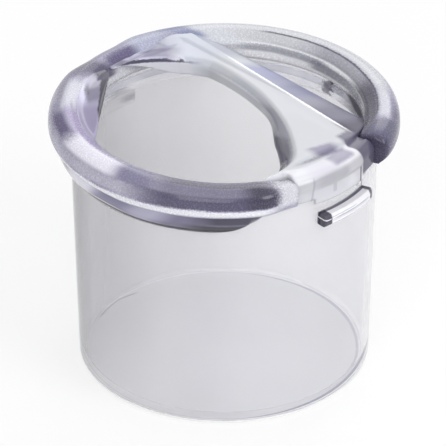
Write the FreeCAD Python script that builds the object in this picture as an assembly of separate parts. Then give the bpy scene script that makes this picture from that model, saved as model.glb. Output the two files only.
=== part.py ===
import FreeCAD, Part
import math
import os

# Paw washer cup: a clear tapered cup and a tinted press-in lid with a bar handle.
# Millimetres. +Z is up, the origin is the centre of the base, and -Y is the front.
# Angles run from +X towards +Y, in degrees.

# Cup
MOUTH_RADIUS = 48.4
MOUTH_HEIGHT = 81.0
CUP_FLARE = 2.0
WALL = 2.0
FLOOR = 2.5
BASE_CORNER = 1.6
INNER_CORNER = 3.0
MOUTH_EDGE = 0.6

# Stop lugs on the cup wall, one at the front right and one opposite
LUG_ANGLE = -40.0
LUG_SPAN = 26.0
LUG_BELOW_MOUTH = 8.4
LUG_HEIGHT = 4.2
LUG_REACH = 3.6
LUG_EDGE = 0.9
LUG_LIP = 1.1
LUG_TOP_LIP = 0.7

# Lid rim: heights are from its widest line, overhangs from the mouth's outside
RIM_SEAT = 3.0
RIM_OVERHANG = 6.6
RIM_CROWN = 5.3
CROWN_INSET = 4.6
RIM_DROP = 5.0
LIP_INSET = 2.0
CROWN_EASE = 0.5
RIM_EASE = 0.66
ROUND_SHARE = 0.76
INNER_TOP = 3.2
INNER_EDGE = 0.8
GAP_ANGLE = -43.5
GAP_SPAN = 41.0
THUMB_FLAT_DEPTH = 1.3
THUMB_FLAT_ANGLE = 139.0

# Fit of the lid on the cup
MOUTH_GAP = 0.3
SIDE_GAP = 0.45
PLUG_GAP = 0.4

# Plug sleeve that enters the mouth, and its seal
SLEEVE_WALL = 2.0
SLEEVE_DEPTH = 5.6
SEAL_HEIGHT = 2.2
SEAL_GROOVE_DEPTH = 0.9
SEAL_FROM_BOTTOM = 1.4
SEAL_SIDE_GAP = 0.08
SEAL_MOUTH_GAP = 0.08
SEAL_CROWN = 0.55

# Flared collars under the rim
COLLAR_ANGLE = -135.0
COLLAR_DEPTH = 7.5
COLLAR_FOOT = 0.5
COLLAR_FLARE = 4.2
COLLAR_END_INSET = 6.0
COLLAR_END = 13.0
COLLAR_BULGE = 0.7
COLLAR_STEPS = 8

# Bar handle across the lid: distances across it are from the cup's axis
BAR_ANGLE = -47.0
BAR_TOP = 4.7
BAR_DEPTH = 5.6
BAR_SIDE_DEPTH = 2.6
BAR_CHAMFER = 1.5
BAR_EDGE = 18.4
BAR_SIDE = 28.5
BAR_SIDE_FALL = 3.2
BAR_END_INSET = 3.2
BAR_END_FALL = 1.9
BAR_SPLIT = -14.0
WEB = 2.0

# Large opening, left of the bar: insets are from the sleeve's inside
SIDE_WEB_WIDTH = 6.4
FRONT_END_ANGLE = -74.0
FRONT_CORNER_INSET = 2.9
FRONT_CORNER_ANGLE = -63.4
BAR_START_INSET = 9.0
BAR_START_ANGLE = -54.5
BAR_FINISH_INSET = 17.6
BAR_FINISH_ANGLE = 99.8
REAR_BULGE_INSET = 7.9
REAR_BULGE_ANGLE = 125.5
REAR_END_ANGLE = 145.5
BAR_LEFT_BULGE_RADIUS = 15.7
BAR_LEFT_BULGE_ANGLE = -14.7

# Nose of the handle, in the gap of the rim
NOSE_OVERHANG = 2.2
NOSE_TOP = 3.4
NOSE_SHOULDER_INSET = 4.0
NOSE_EDGE = 0.7
NOSE_EASE = 1.0
TONGUE_DROP = 2.4
TONGUE_ANGLE = -43.0
TONGUE_SPAN = 26.0

# Height of an arc that turns a right angle, as a share of its chord
QUARTER_ROUND = 0.207

BASE_RADIUS = MOUTH_RADIUS - CUP_FLARE
WALL_SLOPE = CUP_FLARE / MOUTH_HEIGHT
LUG_TOP = MOUTH_HEIGHT - LUG_BELOW_MOUTH
SEAT_HEIGHT = MOUTH_HEIGHT + MOUTH_GAP
RIM_HEIGHT = SEAT_HEIGHT + RIM_SEAT
RIM_FOOT = RIM_HEIGHT - RIM_DROP
RIM_RADIUS = MOUTH_RADIUS + RIM_OVERHANG
CROWN_RADIUS = RIM_RADIUS - CROWN_INSET
LIP_RADIUS = RIM_RADIUS - LIP_INSET
SKIRT_INNER = MOUTH_RADIUS + SIDE_GAP
SLEEVE_OUTER = MOUTH_RADIUS - WALL - PLUG_GAP
SLEEVE_INNER = SLEEVE_OUTER - SLEEVE_WALL
SLEEVE_FOOT = SEAT_HEIGHT - SLEEVE_DEPTH
SEAL_LOW = SLEEVE_FOOT + SEAL_FROM_BOTTOM + SEAL_SIDE_GAP
SEAL_GROOVE = SLEEVE_OUTER - SEAL_GROOVE_DEPTH
COLLAR_LOW = RIM_FOOT - COLLAR_DEPTH
COLLAR_HALF_LENGTH = SKIRT_INNER - COLLAR_END_INSET
DECK_TOP = RIM_HEIGHT + BAR_TOP
BAR_END = SLEEVE_INNER - BAR_END_INSET
CHORD = SLEEVE_INNER - SIDE_WEB_WIDTH
NOSE_RADIUS = MOUTH_RADIUS + NOSE_OVERHANG
NOSE_SHOULDER = NOSE_RADIUS - NOSE_SHOULDER_INSET
FAR = 2 * RIM_RADIUS

UP = FreeCAD.Vector(0, 0, 1)
CENTRE = FreeCAD.Vector(0, 0, 0)


def point(radius, height):
    return FreeCAD.Vector(radius, 0, height)


def line(start, end):
    return Part.LineSegment(start, end).toShape()


def arc(start, middle, end):
    return Part.Arc(start, middle, end).toShape()


def polar(radius, angle, height=0.0):
    turn = math.radians(angle)
    return FreeCAD.Vector(radius * math.cos(turn), radius * math.sin(turn), height)


def corner(start, end, bulge_side):
    """A quarter round between two points of a section, as an arc."""
    middle = (start + end) * 0.5
    chord = end - start
    across = FreeCAD.Vector(chord.z, 0, -chord.x) * (QUARTER_ROUND * bulge_side)
    return arc(start, middle + across, end)


def revolve(edges, start=0.0, span=360.0):
    """Turn a closed section in the XZ plane about Z, from one angle over a span."""
    face = Part.Face(Part.Wire(edges))
    solid = face.revolve(CENTRE, UP, span)
    solid.rotate(CENTRE, UP, start)
    return solid


def outer_radius(height):
    return BASE_RADIUS + WALL_SLOPE * height


def cup_body():
    """Wall and floor of the cup, with rounded corners and a rounded mouth."""
    top = MOUTH_HEIGHT
    outer = MOUTH_RADIUS
    inner = outer - WALL
    foot_inner = outer_radius(FLOOR + INNER_CORNER) - WALL
    a = point(0, 0)
    b = point(BASE_RADIUS - BASE_CORNER, 0)
    c = point(outer_radius(BASE_CORNER), BASE_CORNER)
    d = point(outer_radius(top - MOUTH_EDGE), top - MOUTH_EDGE)
    e = point(outer - MOUTH_EDGE, top)
    f = point(inner + MOUTH_EDGE, top)
    g = point(outer_radius(top - MOUTH_EDGE) - WALL, top - MOUTH_EDGE)
    h = point(foot_inner, FLOOR + INNER_CORNER)
    i = point(foot_inner - INNER_CORNER, FLOOR)
    j = point(0, FLOOR)
    edges = [
        line(a, b),
        corner(b, c, 1),
        line(c, d),
        corner(d, e, 1),
        line(e, f),
        corner(f, g, 1),
        line(g, h),
        corner(h, i, -1),
        line(i, j),
        line(j, a),
    ]
    return revolve(edges)


def stop_lug(turn):
    """Bar lug that stands on the wall and stops the lid's collars."""
    low = LUG_TOP - LUG_HEIGHT
    face = outer_radius(LUG_TOP) + LUG_REACH
    a = point(outer_radius(low), low)
    b = point(face - LUG_LIP, low)
    c = point(face, low + LUG_LIP)
    d = point(face, LUG_TOP - LUG_LIP)
    e = point(face - LUG_TOP_LIP, LUG_TOP)
    f = point(outer_radius(LUG_TOP), LUG_TOP)
    edges = [line(a, b), line(b, c), line(c, d), line(d, e), line(e, f), line(f, a)]
    lug = revolve(edges, LUG_ANGLE - LUG_SPAN / 2 + turn, LUG_SPAN)
    ends = [edge for edge in lug.Edges if is_lug_corner(edge, face)]
    return lug.makeFillet(LUG_EDGE, ends)


def is_lug_corner(edge, face):
    """True for the upright edge at each end of the lug's outer face."""
    heights = [vertex.Z for vertex in edge.Vertexes]
    reaches = [math.hypot(vertex.X, vertex.Y) for vertex in edge.Vertexes]
    upright = max(heights) - min(heights) > LUG_HEIGHT / 4
    return upright and min(reaches) > face - 0.01


def rim_section():
    """Section of the rim: inner wall, rounded crown and nose, and a seat over the mouth."""
    top = RIM_HEIGHT + RIM_CROWN
    a = point(SLEEVE_INNER, SEAT_HEIGHT)
    b = point(SLEEVE_INNER, RIM_HEIGHT + INNER_TOP - INNER_EDGE)
    c = point(SLEEVE_INNER + INNER_EDGE, RIM_HEIGHT + INNER_TOP)
    d = point(CROWN_RADIUS, top)
    e = point(RIM_RADIUS, RIM_HEIGHT)
    f = point(LIP_RADIUS, RIM_FOOT)
    g = point(SKIRT_INNER, RIM_FOOT)
    h = point(SKIRT_INNER, SEAT_HEIGHT)
    crown = point((c.x + d.x) / 2 - CROWN_EASE, top - CROWN_EASE)
    brow = point(rim_ease(CROWN_RADIUS), RIM_HEIGHT + RIM_EASE * RIM_CROWN)
    lip = point(rim_ease(LIP_RADIUS), RIM_HEIGHT - RIM_EASE * RIM_DROP)
    return [
        line(a, b),
        corner(b, c, 1),
        arc(c, crown, d),
        arc(d, brow, e),
        arc(e, lip, f),
        line(f, g),
        line(g, h),
        line(h, a),
    ]


def rim_ease(start):
    """Radius at the middle of the round between a point of the rim and its widest line."""
    return start + ROUND_SHARE * (RIM_RADIUS - start)


def rim_ring():
    """Overhanging rim, open at the nose and with a thumb flat opposite."""
    ring = revolve(rim_section(), GAP_ANGLE + GAP_SPAN / 2, 360.0 - GAP_SPAN)
    reach = RIM_RADIUS - THUMB_FLAT_DEPTH
    block = Part.makeBox(RIM_RADIUS, 2 * RIM_RADIUS, 4 * RIM_DROP)
    block.translate(FreeCAD.Vector(reach, -RIM_RADIUS, RIM_HEIGHT - 2 * RIM_DROP))
    block.rotate(CENTRE, UP, THUMB_FLAT_ANGLE)
    return ring.cut(block)


def plug_sleeve():
    """Sleeve that enters the mouth, with a groove for the seal."""
    low = SEAL_LOW - SEAL_SIDE_GAP
    high = SEAL_LOW + SEAL_HEIGHT + SEAL_SIDE_GAP
    a = point(SLEEVE_INNER, SLEEVE_FOOT)
    b = point(SLEEVE_OUTER, SLEEVE_FOOT)
    c = point(SLEEVE_OUTER, low)
    d = point(SEAL_GROOVE, low)
    e = point(SEAL_GROOVE, high)
    f = point(SLEEVE_OUTER, high)
    g = point(SLEEVE_OUTER, SEAT_HEIGHT)
    h = point(SLEEVE_INNER, SEAT_HEIGHT)
    return revolve(
        [
            line(a, b),
            line(b, c),
            line(c, d),
            line(d, e),
            line(e, f),
            line(f, g),
            line(g, h),
            line(h, a),
        ]
    )


def seal_ring():
    """Silicone ring in the sleeve's groove, running against the cup wall."""
    high = SEAL_LOW + SEAL_HEIGHT
    inner = SEAL_GROOVE + SEAL_SIDE_GAP
    outer = outer_radius(SEAL_LOW) - WALL - SEAL_MOUTH_GAP
    a = point(inner, SEAL_LOW)
    b = point(outer - SEAL_CROWN, SEAL_LOW)
    c = point(outer, (SEAL_LOW + high) / 2)
    d = point(outer - SEAL_CROWN, high)
    e = point(inner, high)
    return revolve([line(a, b), arc(b, c, d), line(d, e), line(e, a)])


def collar_section():
    """Flare from the underside of the rim in to the cup wall."""
    a = point(SKIRT_INNER, RIM_FOOT)
    b = point(SKIRT_INNER, COLLAR_LOW)
    c = point(SKIRT_INNER + COLLAR_FOOT, COLLAR_LOW)
    d = point(SKIRT_INNER + COLLAR_FLARE, RIM_FOOT)
    middle = (c + d) * 0.5 + point(COLLAR_BULGE, -COLLAR_BULGE / 2)
    return [line(a, b), line(b, c), arc(c, middle, d), line(d, a)]


def collar_end(side):
    """Quarter ellipse from the collar's foot up to the rim, at one end."""
    flat = COLLAR_HALF_LENGTH - COLLAR_END
    points = []
    for step in range(COLLAR_STEPS + 1):
        turn = math.radians(90.0 * step / COLLAR_STEPS)
        across = side * (flat + COLLAR_END * math.sin(turn))
        points.append(FreeCAD.Vector(0, across, RIM_FOOT - COLLAR_DEPTH * math.cos(turn)))
    curve = Part.BSplineCurve()
    curve.interpolate(points)
    return curve.toShape()


def collar(turn):
    """One flared collar, its two ends rounded up to the rim."""
    body = revolve(collar_section(), -90.0, 180.0)
    left = collar_end(-1)
    right = collar_end(1)
    bottom = line(left.Vertexes[0].Point, right.Vertexes[0].Point)
    top = line(left.Vertexes[-1].Point, right.Vertexes[-1].Point)
    outline = Part.Wire(Part.__sortEdges__([left, bottom, right, top]))
    window = Part.Face(outline).extrude(FreeCAD.Vector(FAR, 0, 0))
    piece = body.common(window)
    piece.rotate(CENTRE, UP, COLLAR_ANGLE + turn)
    return piece


def opening_outline():
    """Outline of the large opening: the sleeve's arc, the bar's side and a chord."""
    chord_angle = 180.0 + math.degrees(math.acos(CHORD / SLEEVE_INNER))
    low_left = polar(SLEEVE_INNER, chord_angle)
    front_turn = (chord_angle - 360.0 + FRONT_END_ANGLE) / 2
    front = polar(SLEEVE_INNER, FRONT_END_ANGLE)
    front_corner = polar(SLEEVE_INNER - FRONT_CORNER_INSET, FRONT_CORNER_ANGLE)
    start = polar(SLEEVE_INNER - BAR_START_INSET, BAR_START_ANGLE)
    end = polar(SLEEVE_INNER - BAR_FINISH_INSET, BAR_FINISH_ANGLE)
    rear_bulge = polar(SLEEVE_INNER - REAR_BULGE_INSET, REAR_BULGE_ANGLE)
    rear = polar(SLEEVE_INNER, REAR_END_ANGLE)
    edges = [
        arc(low_left, polar(SLEEVE_INNER, front_turn), front),
        arc(front, front_corner, start),
        arc(start, polar(BAR_LEFT_BULGE_RADIUS, BAR_LEFT_BULGE_ANGLE), end),
        arc(end, rear_bulge, rear),
        line(rear, low_left),
    ]
    return Part.Wire(edges)


def large_opening():
    """Cutter for the large opening."""
    hole = Part.Face(opening_outline()).extrude(UP * (4 * BAR_DEPTH))
    hole.translate(UP * (DECK_TOP - 2 * BAR_DEPTH))
    return hole


def opening_chamfer():
    """Cutter that widens the large opening towards the top of the bar."""
    low = opening_outline()
    wide = low.makeOffset2D(BAR_CHAMFER, 2)
    low.translate(UP * (DECK_TOP - BAR_CHAMFER))
    wide.translate(UP * DECK_TOP)
    return Part.makeLoft([low, wide], True, True)


def deck_blank():
    """Deck inside the sleeve: a flat top that falls to the crescent opening."""
    low = DECK_TOP - BAR_SIDE_FALL
    profile = [
        (-FAR, DECK_TOP),
        (BAR_EDGE, DECK_TOP),
        (BAR_SIDE, low),
        (BAR_SIDE, low - BAR_SIDE_DEPTH),
        (BAR_EDGE, DECK_TOP - BAR_DEPTH),
        (-FAR, DECK_TOP - BAR_DEPTH),
    ]
    points = [FreeCAD.Vector(-FAR, across, height) for across, height in profile]
    section = Part.Face(Part.makePolygon(points + points[:1]))
    deck = section.extrude(FreeCAD.Vector(2 * FAR, 0, 0))
    deck.rotate(CENTRE, UP, BAR_ANGLE)
    disc = Part.makeCylinder(SLEEVE_INNER, 4 * BAR_DEPTH, UP * (DECK_TOP - 2 * BAR_DEPTH))
    return deck.common(disc)


def end_ramp(side):
    """Wedge that lowers one end of the bar to the rim's inner edge."""
    reach = SLEEVE_INNER + BAR_END_INSET
    points = [
        FreeCAD.Vector(side * BAR_END, -FAR, DECK_TOP),
        FreeCAD.Vector(side * reach, -FAR, DECK_TOP - 2 * BAR_END_FALL),
        FreeCAD.Vector(side * reach, -FAR, DECK_TOP + BAR_END_FALL),
        FreeCAD.Vector(side * BAR_END, -FAR, DECK_TOP + BAR_END_FALL),
    ]
    face = Part.Face(Part.makePolygon(points + points[:1]))
    wedge = face.extrude(FreeCAD.Vector(0, 2 * FAR, 0))
    wedge.rotate(CENTRE, UP, BAR_ANGLE)
    return wedge


def deck():
    """The deck with its opening and its two end ramps."""
    return deck_blank().cut(large_opening()).cut(end_ramp(-1)).cut(end_ramp(1))


def split_block():
    """The space left of the split between the bar and the webs."""
    block = Part.makeBox(FAR + BAR_SPLIT, 2 * FAR, 2 * FAR)
    block.translate(FreeCAD.Vector(-FAR, -FAR, RIM_HEIGHT - FAR))
    return block


def handle_bridge():
    """Bar handle between the two openings, chamfered along the large one."""
    return deck().cut(split_block()).cut(opening_chamfer())


def webs():
    """Thin webs that close the lid beside the large opening: the rear and the side one."""
    layer = Part.makeBox(2 * FAR, 2 * FAR, WEB)
    layer.translate(FreeCAD.Vector(-FAR, -FAR, DECK_TOP - WEB))
    pieces = deck().common(split_block()).common(layer).Solids
    side = min(pieces, key=lambda piece: piece.CenterOfMass.x)
    rear = max(pieces, key=lambda piece: piece.CenterOfMass.x)
    return rear, side


def nose_section():
    """Section of the nose: inner wall, shoulder and a short skirt over the mouth."""
    a = point(SLEEVE_INNER, SEAT_HEIGHT)
    b = point(SLEEVE_INNER, RIM_HEIGHT + INNER_TOP)
    c = point(NOSE_SHOULDER, RIM_HEIGHT + NOSE_TOP)
    d = point(NOSE_RADIUS, RIM_HEIGHT - NOSE_EASE)
    e = point(NOSE_RADIUS, RIM_FOOT)
    f = point(SKIRT_INNER, RIM_FOOT)
    g = point(SKIRT_INNER, SEAT_HEIGHT)
    shoulder = point(
        NOSE_SHOULDER + ROUND_SHARE * (NOSE_RADIUS - NOSE_SHOULDER),
        RIM_HEIGHT + NOSE_TOP - (1 - ROUND_SHARE) * (NOSE_TOP + NOSE_EASE),
    )
    return [
        line(a, b),
        line(b, c),
        arc(c, shoulder, d),
        line(d, e),
        line(e, f),
        line(f, g),
        line(g, a),
    ]


def tongue_section():
    """Section of the tongue that hangs from the nose, above the lug."""
    low = RIM_FOOT - TONGUE_DROP
    a = point(SKIRT_INNER, RIM_FOOT)
    b = point(NOSE_RADIUS, RIM_FOOT)
    c = point(NOSE_RADIUS, low + NOSE_EDGE)
    d = point(NOSE_RADIUS - NOSE_EDGE, low)
    e = point(SKIRT_INNER, low)
    return [line(a, b), line(b, c), corner(c, d, 1), line(d, e), line(e, a)]


def nose_shell():
    """Clear nose that closes the gap in the rim, with its tongue."""
    shell = revolve(nose_section(), GAP_ANGLE - GAP_SPAN / 2, GAP_SPAN)
    tongue = revolve(tongue_section(), TONGUE_ANGLE - TONGUE_SPAN / 2, TONGUE_SPAN)
    return shell.fuse(tongue).removeSplitter()


def parts():
    rear_web, side_web = webs()
    return {
        "cup_body": cup_body(),
        "stop_lug_front": stop_lug(0.0),
        "stop_lug_rear": stop_lug(180.0),
        "rim_ring": rim_ring(),
        "plug_sleeve": plug_sleeve(),
        "seal_ring": seal_ring(),
        "collar_front": collar(0.0),
        "collar_rear": collar(180.0),
        "handle_bridge": handle_bridge(),
        "rear_web": rear_web,
        "side_web": side_web,
        "nose_shell": nose_shell(),
    }


def main():
    os.makedirs("parts", exist_ok=True)
    for name, shape in parts().items():
        solids = shape.Solids
        result = solids[0] if len(solids) == 1 else Part.makeCompound(solids)
        result.exportStep(os.path.join("parts", name + ".step"))
        print(name, len(solids), shape.isValid(), round(shape.Volume, 1))


main()
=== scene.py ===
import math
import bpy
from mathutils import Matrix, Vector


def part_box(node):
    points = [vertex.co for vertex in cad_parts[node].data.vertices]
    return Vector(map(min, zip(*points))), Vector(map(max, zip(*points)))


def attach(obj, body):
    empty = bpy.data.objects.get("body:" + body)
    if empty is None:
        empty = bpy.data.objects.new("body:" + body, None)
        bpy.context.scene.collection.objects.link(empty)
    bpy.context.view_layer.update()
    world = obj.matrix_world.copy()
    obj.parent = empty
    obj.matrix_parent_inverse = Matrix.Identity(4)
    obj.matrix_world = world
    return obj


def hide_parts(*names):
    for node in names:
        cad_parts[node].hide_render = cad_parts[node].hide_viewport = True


bl_info = {
    "name": "Lidded washer cup",
    "version": (1, 0, 0),
    "blender": (4, 5, 0),
    "location": "View3D > Sidebar > Washer Cup",
    "description": "Builds a clear cup with a frosted press-in lid around its packed solid model",
    "category": "Object",
}

import bmesh
import bpy
from mathutils import Vector

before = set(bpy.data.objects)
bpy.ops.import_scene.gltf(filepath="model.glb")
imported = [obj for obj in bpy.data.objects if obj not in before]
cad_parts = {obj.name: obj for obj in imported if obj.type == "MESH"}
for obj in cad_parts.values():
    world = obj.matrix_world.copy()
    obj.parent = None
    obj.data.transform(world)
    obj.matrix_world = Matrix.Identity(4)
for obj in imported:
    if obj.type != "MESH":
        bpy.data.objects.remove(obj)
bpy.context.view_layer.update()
MM = 0.001

# Lie of the bar handle from the X axis, and how far its slope's edge leans from it
HANDLE_LIE = math.radians(43.0)
SLOPE_LEAN = 0.075

# Plan centres of the arcs that bound the large opening at the rear and beside the bar
REAR_ARC = (-0.01763, -0.00738)
REAR_ARC_RADIUS = 0.0362
BAR_ARC = (-0.0612, -0.0327)


# ---------------------------------------------------------------- sizes and colours


class WasherCupColours(bpy.types.PropertyGroup):
    """Colours and clarity of the cup's finishes."""

    wall: bpy.props.FloatVectorProperty(
        name="Wall colour", description="Tint of the clear cup wall",
        default=(0.90, 0.90, 0.93), subtype="COLOR", min=0.0, max=1.0)
    wall_clarity: bpy.props.FloatProperty(
        name="Wall clarity", description="Share of the wall's light that passes through it",
        default=0.78, subtype="FACTOR", min=0.0, max=1.0)
    handle: bpy.props.FloatVectorProperty(
        name="Handle colour", description="Tint of the clear bar handle and nose",
        default=(0.80, 0.81, 0.85), subtype="COLOR", min=0.0, max=1.0)
    rim: bpy.props.FloatVectorProperty(
        name="Rim colour", description="Tint of the frosted rim",
        default=(0.30, 0.285, 0.40), subtype="COLOR", min=0.0, max=1.0)
    rim_light: bpy.props.FloatVectorProperty(
        name="Rim light colour", description="Paler tint that mottles the frosted rim",
        default=(0.42, 0.41, 0.52), subtype="COLOR", min=0.0, max=1.0)
    lug: bpy.props.FloatVectorProperty(
        name="Lug colour", description="Tint of the stop lugs",
        default=(0.93, 0.93, 0.97), subtype="COLOR", min=0.0, max=1.0)
    collar: bpy.props.FloatVectorProperty(
        name="Collar colour", description="Tint of the collars under the rim",
        default=(0.36, 0.35, 0.47), subtype="COLOR", min=0.0, max=1.0)
    web: bpy.props.FloatVectorProperty(
        name="Web colour", description="Tint of the thin webs beside the large opening",
        default=(0.50, 0.49, 0.64), subtype="COLOR", min=0.0, max=1.0)
    seal: bpy.props.FloatVectorProperty(
        name="Seal colour", description="Colour of the silicone seal",
        default=(0.88, 0.88, 0.91), subtype="COLOR", min=0.0, max=1.0)
    floor: bpy.props.FloatVectorProperty(
        name="Floor colour", description="Colour of the studio floor",
        default=(0.90, 0.90, 0.90), subtype="COLOR", min=0.0, max=1.0)


class WasherCupSizes(bpy.types.PropertyGroup):
    """Sizes of the turned sections and of the details that the pieces get here."""

    segments: bpy.props.IntProperty(
        name="Segments", description="Faces round each turned piece", default=288, min=24, max=720)
    mouth_radius: bpy.props.FloatProperty(
        name="Mouth radius", description="Outside radius of the cup at its mouth",
        default=0.0484, unit="LENGTH", min=0.01, max=0.2)
    mouth_height: bpy.props.FloatProperty(
        name="Mouth height", description="Height of the cup's mouth",
        default=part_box("cup_body")[1].z, unit="LENGTH", min=0.01, max=0.3)
    flare: bpy.props.FloatProperty(
        name="Flare", description="How much wider the mouth's radius is than the base's",
        default=0.002, unit="LENGTH", min=0.0, max=0.02)
    wall: bpy.props.FloatProperty(
        name="Wall", description="Thickness of the cup wall", default=0.002, unit="LENGTH", min=0.0005,
        max=0.01)
    floor: bpy.props.FloatProperty(
        name="Floor", description="Thickness of the cup floor", default=0.0025, unit="LENGTH", min=0.0005,
        max=0.01)
    rim_height: bpy.props.FloatProperty(
        name="Rim height", description="Height of the rim's widest line",
        default=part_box("rim_ring")[0].z + 0.005, unit="LENGTH", min=0.01, max=0.3)
    rim_radius: bpy.props.FloatProperty(
        name="Rim radius", description="Radius of the rim's widest line", default=0.055, unit="LENGTH",
        min=0.01, max=0.2)
    gap_angle: bpy.props.FloatProperty(
        name="Gap angle", description="Direction of the rim's gap", default=math.radians(-43.5),
        unit="ROTATION")
    gap_span: bpy.props.FloatProperty(
        name="Gap span", description="Angle that the rim's gap takes", default=math.radians(41.0),
        unit="ROTATION")
    thumb_angle: bpy.props.FloatProperty(
        name="Thumb flat angle", description="Direction of the rim's thumb flat",
        default=math.radians(139.0), unit="ROTATION")
    thumb_depth: bpy.props.FloatProperty(
        name="Thumb flat depth", description="Depth of the rim's thumb flat", default=0.0013, unit="LENGTH",
        min=0.0)
    overlap: bpy.props.FloatProperty(
        name="Overlap", description="How far a moulded part runs into the one that carries it",
        default=0.0007, unit="LENGTH", min=0.0, max=0.005)
    grain: bpy.props.FloatProperty(
        name="Frost grain", description="Size of the grains on the frosted rim",
        default=0.00055, unit="LENGTH", min=0.0001, max=0.01)


# ---------------------------------------------------------------- node helpers


def add(tree, kind, inputs=None, **settings):
    """Adds a node, sets its properties, and sets or links its inputs."""
    node = tree.nodes.new(kind)
    for key, value in settings.items():
        setattr(node, key, value)
    for key, value in (inputs or {}).items():
        socket = node.inputs[key]
        if isinstance(value, bpy.types.NodeSocket):
            tree.links.new(value, socket)
        else:
            socket.default_value = value
    return node


def rgba(colour, factor=1.0):
    return (colour[0] * factor, colour[1] * factor, colour[2] * factor, 1.0)


def blank_material(name):
    material = bpy.data.materials.new(name)
    material.use_nodes = True
    material.node_tree.nodes.clear()
    return material


def plastic(name, dark, light, mottle, clarity, roughness, grain, bump, index=1.49, spread=(0.35, 0.65)):
    """Moulded clear or frosted plastic: mottled tint, uneven roughness and a fine grain."""
    material = blank_material(name)
    tree = material.node_tree
    place = add(tree, "ShaderNodeTexCoord").outputs["Object"]
    cloud = add(tree, "ShaderNodeTexNoise",
        {"Vector": place, "Scale": 1.0 / mottle, "Detail": 4.0, "Roughness": 0.6})
    tint = add(tree, "ShaderNodeMapRange",
        {"Value": cloud.outputs["Fac"], "From Min": spread[0], "From Max": spread[1]})
    colour = add(tree, "ShaderNodeMix", {"Factor": tint.outputs["Result"]}, data_type="RGBA")
    colour.inputs[6].default_value = rgba(dark)
    colour.inputs[7].default_value = rgba(light)
    fine = add(tree, "ShaderNodeTexNoise",
        {"Vector": place, "Scale": 1.0 / grain, "Detail": 3.0, "Roughness": 0.55})
    rough = add(tree, "ShaderNodeMapRange", {
        "Value": fine.outputs["Fac"], "From Min": 0.3, "From Max": 0.7,
        "To Min": roughness[0], "To Max": roughness[1]})
    relief = add(tree, "ShaderNodeBump",
                 {"Height": fine.outputs["Fac"], "Strength": bump[0], "Distance": bump[1]})
    shader = add(tree, "ShaderNodeBsdfPrincipled", {
        "Base Color": colour.outputs[2], "Roughness": rough.outputs["Result"], "IOR": index,
        "Transmission Weight": clarity, "Normal": relief.outputs["Normal"]})
    add(tree, "ShaderNodeOutputMaterial", {"Surface": shader.outputs["BSDF"]})
    return material


def measured(tree):
    """Object coordinates, then radius and height in millimetres, turn in degrees, and X, Y and Z."""
    place = add(tree, "ShaderNodeTexCoord").outputs["Object"]
    parts = add(tree, "ShaderNodeSeparateXYZ", {0: place}).outputs
    flat = add(tree, "ShaderNodeCombineXYZ", {0: parts["X"], 1: parts["Y"]}).outputs[0]
    reach = add(tree, "ShaderNodeVectorMath", {0: flat}, operation="LENGTH").outputs["Value"]
    turn = calc(tree, "ARCTAN2", parts["Y"], parts["X"])

    def scaled(value, factor):
        return calc(tree, "MULTIPLY", value, factor)

    return place, scaled(reach, 1000.0), scaled(parts["Z"], 1000.0), scaled(turn, 180.0 / math.pi), parts


def ramp(tree, value, low, high, first=0.0, last=1.0):
    """Smooth ramp of a value between two limits."""
    node = add(tree, "ShaderNodeMapRange", {
        "Value": value, "From Min": low, "From Max": high, "To Min": first, "To Max": last},
        interpolation_type="SMOOTHSTEP")
    return node.outputs["Result"]


def band(tree, value, low, high, soft):
    """1 between two limits of a value and 0 outside them, with soft sides."""
    up = ramp(tree, value, low - soft, low + soft)
    down = ramp(tree, value, high - soft, high + soft, 1.0, 0.0)
    return times(tree, up, down)


def calc(tree, operation, *values):
    """Result of a maths node."""
    return add(tree, "ShaderNodeMath", dict(enumerate(values)), operation=operation).outputs[0]


def times(tree, first, second):
    return calc(tree, "MULTIPLY", first, second)


def shifted(tree, value, noise_value, amount):
    """A value moved up and down by noise, so that what it bounds gets a ragged edge."""
    off = calc(tree, "SUBTRACT", noise_value, 0.5)
    return calc(tree, "MULTIPLY_ADD", off, amount * 2.0, value)


def blend_value(tree, factor, first, second):
    return add(tree, "ShaderNodeMapRange",
        {"Value": factor, "To Min": first, "To Max": second}).outputs["Result"]


def blend_colour(tree, factor, first, second):
    node = add(tree, "ShaderNodeMix", {"Factor": factor}, data_type="RGBA")
    for socket, value in ((node.inputs[6], first), (node.inputs[7], second)):
        if isinstance(value, bpy.types.NodeSocket):
            tree.links.new(value, socket)
        else:
            socket.default_value = rgba(value)
    return node.outputs[2]


def wobble(tree, place, size, detail=3.0, rough=0.55):
    """Noise of a given size."""
    return add(tree, "ShaderNodeTexNoise", {
        "Vector": place, "Scale": 1.0 / size, "Detail": detail, "Roughness": rough}).outputs["Fac"]


def shade(tree, colour, rough, clarity, height, strength, distance, index=1.49, coat=0.0):
    """Principled shader with a bump, joined to the output."""
    relief = add(tree, "ShaderNodeBump", {"Height": height, "Strength": strength, "Distance": distance})
    shader = add(tree, "ShaderNodeBsdfPrincipled", {
        "Base Color": colour, "Roughness": rough, "IOR": index, "Coat Weight": coat, "Coat Roughness": 0.06,
        "Transmission Weight": clarity, "Normal": relief.outputs["Normal"]})
    add(tree, "ShaderNodeOutputMaterial", {"Surface": shader.outputs["BSDF"]})


def tone(r, g, b):
    """Linear colour of an 8-bit sRGB shade."""
    return [((v / 255 + 0.055) / 1.055) ** 2.4 if v > 10 else v / 3294.6 for v in (r, g, b)]


def patches(tree, tint, u, v, rows):
    """Paints soft patches: spans of u and v, the softness of both, a lean, an 8-bit colour and a depth."""
    for u_low, u_high, v_low, v_high, u_soft, v_soft, lean, colour, depth in rows:
        along = u
        if lean:
            along = calc(tree, "MULTIPLY_ADD", v, -lean, u)
            u_low, u_high = u_low - lean * (v_low + v_high) / 2, u_high - lean * (v_low + v_high) / 2
        mask = times(tree, band(tree, along, u_low, u_high, u_soft), band(tree, v, v_low, v_high, v_soft))
        tint = blend_colour(tree, times(tree, mask, depth), tint, tone(*colour))
    return tint


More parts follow.
